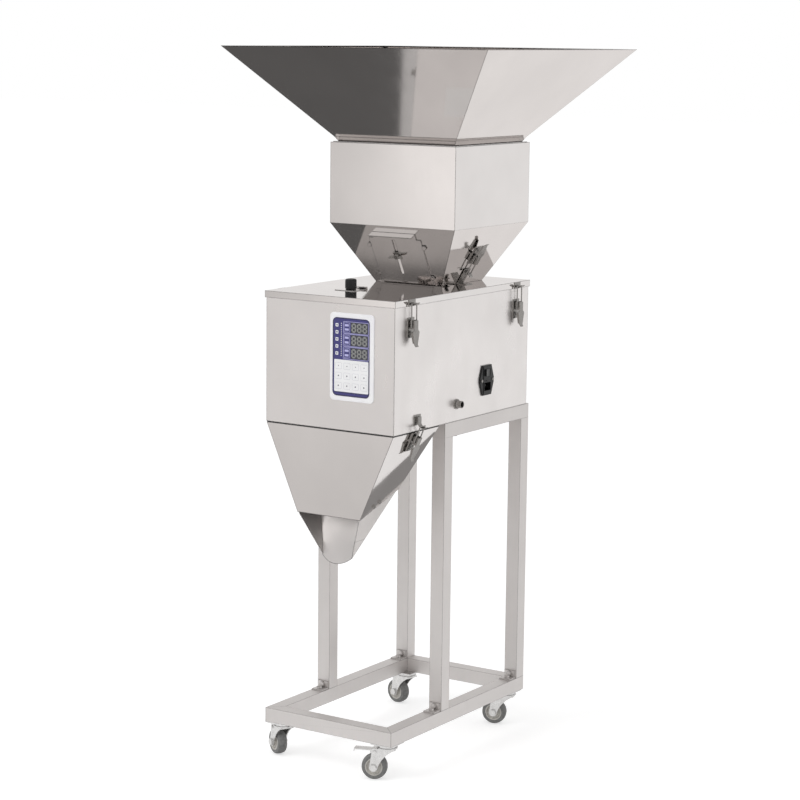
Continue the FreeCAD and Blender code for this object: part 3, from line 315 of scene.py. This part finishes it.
ROUNDING_MM = {
    "big_hopper": 0.6, "upper_hopper": 0.7, "housing": 1.3, "lid": 1.0, "funnel": 0.7, "nozzle": 0.6,
    "base_frame": 0.7, "upper_stand": 0.7, "panel_plate": 0.7, "lid_flap": 0.4, "gate_plate": 0.4,
    "feeder_tray": 0.5, "weigh_bucket": 0.4, "bucket_door": 0.3, "panel_film": 0.15,
}
FOLDED = ("big_hopper", "upper_hopper", "housing", "lid", "funnel", "nozzle", "gate_plate", "lid_flap",
          "feeder_tray", "weigh_bucket", "bucket_door")
TUBES = ("base_frame", "upper_stand")
FOLD_CREASE, CREASE, FLATNESS = math.radians(18), math.radians(35), math.radians(0.4)
SMALL_ROUNDING_MM, WELD_GAP_MM = 0.3, 0.01


def dress(name, look):
    """Finish of a CAD piece, its flat faces made whole and its edges rounded.

    A folded sheet keeps its shallow folds sharp, and tubes are shaded flat, so that a side doesn't
    borrow the direction of the next one.
    """
    part = NODES[name]
    part.data.materials.clear()
    part.data.materials.append(look)
    if "custom_normal" in part.data.attributes:
        part.data.attributes.remove(part.data.attributes["custom_normal"])
    weld = part.modifiers.new("weld", "WELD")
    weld.merge_threshold = WELD_GAP_MM * MM
    flatten = part.modifiers.new("flat_faces", "DECIMATE")
    flatten.decimate_type = "DISSOLVE"
    flatten.angle_limit = FLATNESS
    crease = FOLD_CREASE if name in FOLDED else CREASE
    bevel = part.modifiers.new("edges", "BEVEL")
    bevel.limit_method = "ANGLE"
    bevel.angle_limit = crease
    bevel.width = ROUNDING_MM.get(name, SMALL_ROUNDING_MM) * MM
    bevel.segments = 2
    if name in TUBES:
        part.data.shade_flat()
    else:
        part.data.shade_smooth()
        part.data.set_sharp_from_angle(angle=crease)
        normals = part.modifiers.new("normals", "WEIGHTED_NORMAL")
        normals.weight = 100


for entry in frame["record"]["subparts"]:
    dress(entry["node"], OWN_LOOK.get(entry["node"], LOOKS[entry["material_slot"]]))

# New surfaces, worked out as arrays in metres

LEAST_RADIUS = 0.02 * MM


def surface(name, points, faces, look, slot, body="machine"):
    """Mesh piece from its points and faces, smooth up to 35 degrees, riding on a body."""
    mesh = bpy.data.meshes.new(name)
    mesh.from_pydata(points.tolist(), [], faces)
    mesh.materials.append(look)
    mesh.shade_smooth()
    mesh.set_sharp_from_angle(angle=CREASE)
    thing = bpy.data.objects.new(name, mesh)
    bpy.context.scene.collection.objects.link(thing)
    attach(thing, body)
    return thing


def band(low, high, n):
    """Quads between two loops of n points whose first points have the indices low and high.

    Quad k is (low + k, low + k + 1, high + k + 1, high + k), with k + 1 taken round the loop.
    """
    k = np.arange(n)
    after = np.roll(k, -1)
    return np.stack([low + k, low + after, high + after, high + k], 1).tolist()


def stacked(loops, capped=True):
    """Points and faces of closed loops of equal length n, joined one to the next.

    Point k of loop i has the index i n + k, and a cap with n sides closes the first loop and the last.
    """
    count, n = len(loops), len(loops[0])
    points = np.concatenate([np.asarray(loop, float) for loop in loops])
    faces = []
    for i in range(count - 1):
        faces += band(i * n, (i + 1) * n, n)
    if capped:
        faces.append(list(range(n - 1, -1, -1)))
        faces.append(list(range((count - 1) * n, count * n)))
    return points, faces


def joined(shapes):
    """Several point and face lists as one."""
    points, faces, start = [], [], 0
    for own_points, own_faces in shapes:
        points.append(own_points)
        faces += [[k + start for k in face] for face in own_faces]
        start += len(own_points)
    return np.concatenate(points), faces


def rounded(x0, x1, z0, z1, radius, steps=6):
    """Rounded rectangle as (x, z) points, anticlockwise: each corner is centre + r (cos t, sin t)."""
    turns = np.linspace(0.0, math.pi / 2, steps + 1)
    corners = ((x1, z1, 0), (x0, z1, 1), (x0, z0, 2), (x1, z0, 3))
    rows = []
    for cx, cz, quarter in corners:
        mx = cx - radius if quarter in (0, 3) else cx + radius
        mz = cz - radius if quarter in (0, 1) else cz + radius
        t = turns + quarter * math.pi / 2
        rows.append(np.stack([mx + radius * np.cos(t), mz + radius * np.sin(t)], 1))
    return np.concatenate(rows)


def standing(outline, y):
    """Points (x, y, z) of an (x, z) outline in the plane of one y."""
    return np.stack([outline[:, 0], np.full(len(outline), y), outline[:, 1]], 1)


def slab(x0, x1, z0, z1, radius, back, front, edge):
    """Rounded plate that faces -Y, from y = back to y = front, its front edge eased by edge."""
    outer = rounded(x0, x1, z0, z1, radius)
    inner = rounded(x0 + edge, x1 - edge, z0 + edge, z1 - edge, max(radius - edge, LEAST_RADIUS))
    return stacked([standing(outer, back), standing(outer, front + edge), standing(inner, front)])


def frame_slab(x0, x1, z0, z1, radius, width, back, front):
    """Flat rounded frame of one width, facing -Y."""
    outer = rounded(x0, x1, z0, z1, radius)
    inner = rounded(x0 + width, x1 - width, z0 + width, z1 - width, max(radius - width, LEAST_RADIUS))
    loops = [standing(outer, back), standing(outer, front), standing(inner, front), standing(inner, back)]
    return stacked(loops, capped=False)


# Control panel: a white moulded plate, a membrane, three displays and a keypad

# Polyester, printed dark blue
NAVY = moulded("navy_print", "#2c2947", 0.3, 0.004)
# Smoked acrylic windows, moulded: dark and glossy
WINDOW = moulded("display_window", "#46464d", 0.2, 0.002, 0.4)
# Unlit light segments behind the smoked window
SEGMENT = moulded("display_segment", "#8d8e8c", 0.3, 0.002, 0.4)
# Polyester, printed pale violet
PALE_VIOLET = moulded("pale_violet_print", "#bdbbe8", 0.32, 0.004)
# Polyester, printed white
KEYPAD = moulded("white_print", "#f6f6f7", 0.36, 0.006)
# Polyester, printed light grey
KEY_LINE = moulded("key_line_print", "#cfcfd6", 0.36, 0.004)

PRINT = 0.05 * MM
PRINT_EDGE = 0.01 * MM
DISPLAY_ROWS_MM = ((851.5, 871.3), (827.4, 848.2), (803.3, 823.9))
DIGIT_WIDTH, DIGIT_HEIGHT, SEGMENT_HALF = 7.4 * MM, 14.4 * MM, 1.5 * MM
FIRST_DIGIT_MM, DIGIT_PITCH_MM = 56.9, 12.2


def metres(*values):
    """Millimetres as metres."""
    return [value * MM for value in values]


def digit(x, z, width, height, y):
    """Seven segments of a figure eight, each a pointed hexagon, 0.03 mm above the window."""
    half, mid, thick = width / 2, height / 2, SEGMENT_HALF
    bars = [(0, mid, 0), (0, 0, 0), (0, -mid, 0)]
    bars += [(-half, mid / 2, 1), (half, mid / 2, 1), (-half, -mid / 2, 1), (half, -mid / 2, 1)]
    shapes = []
    for dx, dz, upright in bars:
        reach = (mid if upright else width) / 2 - 0.3 * MM
        along = np.array([-reach, -reach + thick, reach - thick, reach, reach - thick, -reach + thick])
        across = np.array([0, -1, -1, 0, 1, 1]) * thick
        u, v = (across[::-1], along[::-1]) if upright else (along, across)
        outline = np.stack([x + dx + u, z + dz + v], 1)
        shapes.append(stacked([standing(outline, y), standing(outline, y - 0.06 * MM)]))
    return shapes


def display_row(low, high, y):
    """Window, printed frames and three digits of one display, between two heights in millimetres."""
    window = slab(*metres(49.9, 88.4, low, high, 1.2), y, y - 0.3 * MM, 0.15 * MM)
    labels = [
        frame_slab(*metres(32.9, 90.3, low - 1.3, high + 1.3, 2.2, 0.8), y, y - PRINT),
        frame_slab(*metres(34.6, 47.8, low + 1, high - 1, 1.5, 0.6), y, y - PRINT),
        slab(*metres(36.6, 45.2, low + 4, low + 8, 0.6), y, y - PRINT, 0.02 * MM),
        slab(*metres(36.6, 45.2, high - 8, high - 4, 0.6), y, y - PRINT, 0.02 * MM),
    ]
    digits = []
    for place in range(3):
        x, z = metres(FIRST_DIGIT_MM + DIGIT_PITCH_MM * place, (low + high) / 2)
        digits += digit(x, z, DIGIT_WIDTH, DIGIT_HEIGHT, y - 0.27 * MM)
    return window, labels, digits


def keys_and_marks(y):
    """Outlines and marks of the twelve printed keys."""
    outlines, marks = [], []
    for column in range(4):
        for row in range(3):
            x, z = 22.6 + 19.2 * column, 788.6 - 18.6 * row
            outlines.append(frame_slab(*metres(x - 7.4, x + 7.4, z - 6.2, z + 6.2, 2, 0.5),
                                       y - 0.03 * MM, y - 0.09 * MM))
            size = 1.3 if row else 0.9
            marks.append(slab(*metres(x - size, x + size, z - size, z + size, size * 0.98),
                              y - 0.03 * MM, y - 0.1 * MM, PRINT_EDGE))
    return outlines, marks


def panel():
    """Rounded plate and membrane at their CAD boxes, with what is printed on the membrane.

    A printed layer lies 0.04 mm above the one under it.
    """
    low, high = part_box("panel_plate")
    face = surface("panel_face", *slab(low[0], high[0], low[2], high[2], 8 * MM, high[1], low[1], 0.7 * MM),
                   PLATE, "panel_white")
    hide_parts("panel_plate")
    low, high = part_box("panel_film")
    x0, x1, z0, z1, y = low[0], high[0], low[2], high[2], low[1]
    membrane = surface("panel_membrane", *slab(x0, x1, z0, z1, 9 * MM, high[1], y, 0.15 * MM), FILM,
                       "panel_blue")
    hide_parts("panel_film")
    inset = 0.4 * MM
    border = frame_slab(x0 + inset, x1 - inset, z0 + inset, z1 - inset, 8.6 * MM, 1.7 * MM,
                        y + 0.02 * MM, y - 0.04 * MM)
    bar = slab(x0 + 4 * MM, x1 - 4 * MM, z0 + 6.2 * MM, z0 + 7.4 * MM, 0.3 * MM, y, y - 0.04 * MM, PRINT_EDGE)
    surface("membrane_border", *joined([border, bar]), NAVY, "panel_blue")

    strip, windows, labels, digits = [], [], [], []
    for row in range(5):
        z = 864.6 - 13.2 * row
        strip.append(frame_slab(*metres(15.7, 21.9, z - 3.1, z + 3.1, 1.0, 1.7), y, y - PRINT))
    for row in range(16):
        z = 868.0 - 4.0 * row
        strip.append(slab(*metres(28.1, 29.3, z - 1.1, z + 1.1, 0.3), y, y - PRINT, PRINT_EDGE))
    for low_z, high_z in DISPLAY_ROWS_MM:
        window, row_labels, row_digits = display_row(low_z, high_z, y)
        windows.append(window)
        labels += row_labels
        digits += row_digits
    surface("strip_marks", *joined(strip), KEYPAD, "panel_white")
    surface("display_windows", *joined(windows), WINDOW, "panel_blue")
    surface("display_digits", *joined(digits), SEGMENT, "panel_white")
    surface("label_frames", *joined(labels), PALE_VIOLET, "panel_blue")

    keypad = slab(*metres(13, 90, 740.2, 800.4, 2), y, y - 0.04 * MM, PRINT_EDGE)
    surface("keypad_field", *keypad, KEYPAD, "panel_white")
    outlines, marks = keys_and_marks(y)
    surface("key_outlines", *joined(outlines), KEY_LINE, "panel_white")
    surface("key_marks", *joined(marks), NAVY, "panel_blue")


panel()

# Wheels: a tyre with a rounded tread on a dished core, turned about the axle


def revolved(profile, centre, axis, steps=72):
    """Surface of a closed (radius, offset) profile turned about an axle.

    Point (r, s) at angle t is centre + s axis + r (cos t u + sin t v), with u, v square to the axis.
    """
    axis = np.asarray(axis, float) / np.linalg.norm(axis)
    u = np.cross(axis, (0.0, 0.0, 1.0))
    u /= np.linalg.norm(u)
    v = np.cross(axis, u)
    t = np.linspace(0.0, 2 * math.pi, steps, endpoint=False)
    ring = np.cos(t)[:, None] * u + np.sin(t)[:, None] * v
    loops = [np.asarray(centre) + s * axis + r * ring for r, s in profile]
    points, faces = stacked(loops, capped=False)
    return points, faces + band((len(loops) - 1) * steps, 0, steps)


def arc(cx, cy, radius, start, end, steps=5):
    """Points of an arc, with its angles in degrees."""
    t = np.radians(np.linspace(start, end, steps + 1))
    return np.stack([cx + radius * np.cos(t), cy + radius * np.sin(t)], 1).tolist()


TREAD_MM = [(16.6, -9.0)] + arc(21.2, -6.4, 2.9, -95, -15) + [(24.7, -3.5), (25.0, 0.0), (24.7, 3.5)]
TREAD_MM += arc(21.2, 6.4, 2.9, 15, 95) + [(16.6, 9.0)]
HALF_CORE_MM = [(4.1, 10.9), (7.4, 10.9), (8.0, 10.3), (8.2, 6.9), (9.0, 6.2), (13.2, 6.2), (14.0, 6.9),
                (14.5, 9.0), (15.1, 9.5), (16.7, 9.5), (17.0, 9.1)]
CORE_MM = [(r, -s) for r, s in HALF_CORE_MM] + HALF_CORE_MM[::-1]


def wheels():
    """Four wheels, each at its own roll joint."""
    for joint in frame["joints"]:
        if not joint["name"].startswith("roll_"):
            continue
        corner = joint["name"][len("roll_"):]
        body = joint["child"]
        for kind, profile, look, slot in (("tyre", TREAD_MM, TYRE, "tyre"), ("core", CORE_MM, HUB, "tyre")):
            scaled = [(r * MM, s * MM) for r, s in profile]
            turned = revolved(scaled, joint["pos_m"], joint["axis"])
            wheel = surface(kind + "_" + corner, *turned, look, slot, body)
            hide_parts("caster_wheel_" + corner)


wheels()

# Knob of the inspection flap, fluted

FLUTES = 18


def knob():
    """Turned knob whose side has 18 flutes: r = R (1 - d (0.5 - 0.5 cos 18 t))."""
    low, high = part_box("flap_knob")
    cx, cy = (low[0] + high[0]) / 2, (low[1] + high[1]) / 2
    foot, top = low[2] + 0.9 * MM, high[2]
    t = np.linspace(0.0, 2 * math.pi, 12 * FLUTES, endpoint=False)
    wave = 0.5 - 0.5 * np.cos(FLUTES * t)
    rows = [(2.0, low[2], 0.0), (2.0, foot + 1.2 * MM, 0.0), (9.0, foot + 1.2 * MM, 0.0),
            (9.6, foot + 1.5 * MM, 0.0), (10.6, foot + 3.0 * MM, 0.04), (11.0, foot + 4.4 * MM, 0.07),
            (11.0, top - 3.2 * MM, 0.07), (10.5, top - 1.4 * MM, 0.03), (9.3, top - 0.4 * MM, 0.0),
            (8.0, top - 0.05 * MM, 0.0), (6.5, top - 0.5 * MM, 0.0), (4.0, top - 0.6 * MM, 0.0)]
    loops = []
    for radius, z, depth in rows:
        r = radius * MM * (1.0 - depth * wave)
        loops.append(np.stack([cx + r * np.cos(t), cy + r * np.sin(t), np.full(len(t), z)], 1))
    thing = surface("fluted_knob", *stacked(loops), BLACK, "black_plastic", "inspection_flap")
    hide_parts("flap_knob")


knob()

# Floor, light and background

WHITE, CARD_WHITE, FLOOR_GREY = (1.0, 1.0, 1.0, 1.0), (1.0, 0.98, 0.97, 1.0), (0.62, 0.62, 0.62, 1.0)
FLOOR_HALF, FLOOR_LIFT, SKY_LIGHT = 30.0, 0.55, 0.75
LAMP_PLACE, LAMP_AIM, LAMP_SIZE, LAMP_WATTS = (-1.6, -3.6, 4.2), (0.0, 0.0, 0.7), 3.0, 75.0


def ray_is_seen(tree):
    """1 for camera, glossy and transmission rays."""
    path = add_node(tree, "ShaderNodeLightPath")
    total = path.outputs["Is Camera Ray"]
    for name in ("Is Glossy Ray", "Is Transmission Ray"):
        larger = add_node(tree, "ShaderNodeMath", {0: total, 1: path.outputs[name]}, operation="MAXIMUM")
        total = larger.outputs[0]
    return total


def empty_nodes(holder):
    """Cleared node tree of a material or a world."""
    holder.use_nodes = True
    holder.node_tree.nodes.clear()
    return holder.node_tree


def lay_floor():
    """Pale matt floor that keeps the shadow, lifted towards white where it is seen."""
    floor_mesh = bpy.data.meshes.new("floor")
    corners = [(-FLOOR_HALF, -FLOOR_HALF, 0.0), (FLOOR_HALF, -FLOOR_HALF, 0.0), (FLOOR_HALF, FLOOR_HALF, 0.0),
               (-FLOOR_HALF, FLOOR_HALF, 0.0)]
    floor_mesh.from_pydata(corners, [], [(0, 1, 2, 3)])
    floor = bpy.data.objects.new("floor", floor_mesh)
    bpy.context.scene.collection.objects.link(floor)
    ground = bpy.data.materials.new("floor")
    tree = empty_nodes(ground)
    lift = add_node(tree, "ShaderNodeMath", {0: ray_is_seen(tree), 1: FLOOR_LIFT}, operation="MULTIPLY")
    paint = add_node(tree, "ShaderNodeBsdfDiffuse", {"Color": FLOOR_GREY})
    glow = add_node(tree, "ShaderNodeEmission", {"Color": WHITE, "Strength": lift.outputs[0]})
    both = add_node(tree, "ShaderNodeAddShader", {0: paint.outputs[0], 1: glow.outputs[0]})
    add_node(tree, "ShaderNodeOutputMaterial", {"Surface": both.outputs[0]})
    floor_mesh.materials.append(ground)


def light_the_room():
    """White background where it is seen, even light from all round, and one large soft lamp."""
    world = bpy.data.worlds.new("world")
    bpy.context.scene.world = world
    tree = empty_nodes(world)
    sky = add_node(tree, "ShaderNodeBackground", {"Color": WHITE, "Strength": SKY_LIGHT})
    white = add_node(tree, "ShaderNodeBackground", {"Color": WHITE, "Strength": 1.0})
    sides = {0: ray_is_seen(tree), 1: sky.outputs[0], 2: white.outputs[0]}
    choose = add_node(tree, "ShaderNodeMixShader", sides)
    add_node(tree, "ShaderNodeOutputWorld", {"Surface": choose.outputs[0]})

    lamp = bpy.data.lights.new("softbox", "AREA")
    lamp.shape = "DISK"
    lamp.size = LAMP_SIZE
    lamp.energy = LAMP_WATTS
    holder = bpy.data.objects.new("softbox", lamp)
    holder.location = LAMP_PLACE
    toward = Vector(LAMP_AIM) - Vector(LAMP_PLACE)
    holder.rotation_euler = toward.to_track_quat("-Z", "Y").to_euler()
    holder.visible_glossy = False
    bpy.context.scene.collection.objects.link(holder)


# Cards that only polished faces see, as a photographer sets cards around bright metal

AWAY, RIGHT = (-0.56, -0.83, 0.0), (0.829, -0.559, 0.0)
CARD_LIFT, OVERHEAD = 0.002, 2.9


def level(height, *corners):
    """Corners of a level card."""
    return [(x, y, height + CARD_LIFT) for x, y in corners]


def oblong(height, x0, x1, y0, y1):
    """Corners of a level card square to the axes."""
    return level(height, (x0, y0), (x1, y0), (x1, y1), (x0, y1))


def brighter_to_the_right(tree, tone):
    """Strength of the floor in front, q metres away from the machine and p metres to the right.

    tone + far side + further: far rises from 0 to 1 over q = 3.4 to 5.2, side from -0.03 to 0.32 over
    p = -0.35 to 0.45, and further from 0 to 0.06 over q = 9 to 15, as a window on the right would give.
    """
    place = add_node(tree, "ShaderNodeTexCoord").outputs["Object"]
    ramps = []
    for direction, low, high, start, end in ((AWAY, 0.0, 1.0, 3.4, 5.2), (RIGHT, -0.03, 0.32, -0.35, 0.45),
                                             (AWAY, 0.0, 0.06, 9.0, 15.0)):
        along = add_node(tree, "ShaderNodeVectorMath", {0: place, 1: direction}, operation="DOT_PRODUCT")
        way = {"Value": along.outputs["Value"], "From Min": start, "From Max": end, "To Min": low,
               "To Max": high}
        ramps.append(add_node(tree, "ShaderNodeMapRange", way).outputs["Result"])
    far, side, further = ramps
    sideways = add_node(tree, "ShaderNodeMath", {0: far, 1: side}, operation="MULTIPLY").outputs[0]
    deeper = add_node(tree, "ShaderNodeMath", {0: sideways, 1: further}, operation="ADD").outputs[0]
    return add_node(tree, "ShaderNodeMath", {0: deeper, 1: tone}, operation="ADD").outputs[0]


def flag(name, corners, tone, shading=None, one_sided=False):
    """Card of one tone, or shaded over its face, that can be clear from behind."""
    mesh = bpy.data.meshes.new(name)
    mesh.from_pydata(corners, [], [tuple(range(len(corners)))])
    card = bpy.data.objects.new(name, mesh)
    bpy.context.scene.collection.objects.link(card)
    paint = bpy.data.materials.new(name)
    tree = empty_nodes(paint)
    strength = shading(tree, tone) if shading else tone
    shown = add_node(tree, "ShaderNodeEmission", {"Color": CARD_WHITE, "Strength": strength})
    if one_sided:
        behind = add_node(tree, "ShaderNodeNewGeometry").outputs["Backfacing"]
        clear = add_node(tree, "ShaderNodeBsdfTransparent")
        shown = add_node(tree, "ShaderNodeMixShader", {0: behind, 1: shown.outputs[0], 2: clear.outputs[0]})
    add_node(tree, "ShaderNodeOutputMaterial", {"Surface": shown.outputs[0]})
    mesh.materials.append(paint)
    card.visible_camera = False
    card.visible_diffuse = False
    card.visible_transmission = False
    card.visible_shadow = False


def set_cards():
    """Cards on the floor, overhead, behind, and close to single faces."""
    # Dark zones of the big hopper's front and the pyramid's left side
    flag("dark_flag_left", level(0.0, (-1.9, -0.74), (-0.8, -0.74), (-0.8, -0.5), (-0.79, -0.39),
                                 (-0.775, -0.1), (-1.9, -0.1)), 0.12)
    # Dark slant on the funnel's right side: a dark card just in front of the leg's front face, painted shade of
    # that face, which the funnel mirrors
    flag("grey_flag_leg", [(0.118, -0.1365, 0.36), (0.148, -0.1365, 0.36), (0.148, -0.1365, 0.64),
                           (0.118, -0.1365, 0.64)], 0.3, one_sided=True)
    # Grey of the faces that look down at the floor
    flag("grey_flag_front", oblong(0.0, -26.0, 1.0, -29.0, -1.35), 0.762, brighter_to_the_right)
    flag("grey_flag_floor", oblong(-0.001, -0.81, -0.7, -0.46, -0.1), 0.56)
    flag("grey_flag_beyond", oblong(0.0, -1.2, 1.2, 1.4, 3.6), 0.97)
    # Light in the nozzle's open mouth
    flag("pale_flag_mouth", [(0.066, -0.3045, 0.4985), (-0.066, -0.3045, 0.4985), (-0.078, -0.3045, 0.526),
                             (0.078, -0.3045, 0.526)], 1.1, one_sided=True)
    flag("pale_flag_flank", [(-0.04, -0.3, 0.44), (-0.04, -0.255, 0.44), (-0.078, -0.255, 0.526),
                             (-0.078, -0.3, 0.526)], 1.1, one_sided=True)
    # Room above, which the lid passes on to the pyramid and the big hopper
    flag("grey_flag_above", oblong(OVERHEAD, -3.6, -0.8, -1.6, -1.08), 0.6)
    flag("grey_flag_before", oblong(OVERHEAD, -3.6, -0.8, -3.8, -1.6), 0.36)
    flag("dark_flag_above", oblong(OVERHEAD, -3.6, -0.8, -1.08, -0.75), 0.18)
    flag("grey_flag_over_back", oblong(OVERHEAD, -0.6, 2.6, 1.8, 6.5), 0.74)
    # Calm place over the knob and the flap's hinge, which keeps them out of the big hopper's front
    knob_low, knob_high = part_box("flap_knob")
    flag("grey_flag_over_knob", oblong(knob_high[2] + 0.003, knob_low[0] - 0.016, knob_high[0] + 0.045,
                                       knob_low[1] - 0.012, -0.166), 0.71, one_sided=True)
    # Far wall, for the faces that look back past the machine
    flag("grey_flag_backdrop", [(-11.0, 9.0, 0.95), (-2.0, 9.0, 0.95), (-2.0, 9.0, 6.0),
                                (-11.0, 9.0, 6.0)], 0.87)


lay_floor()
light_the_room()
set_cards()
bpy.context.scene.view_settings.view_transform = "Standard"
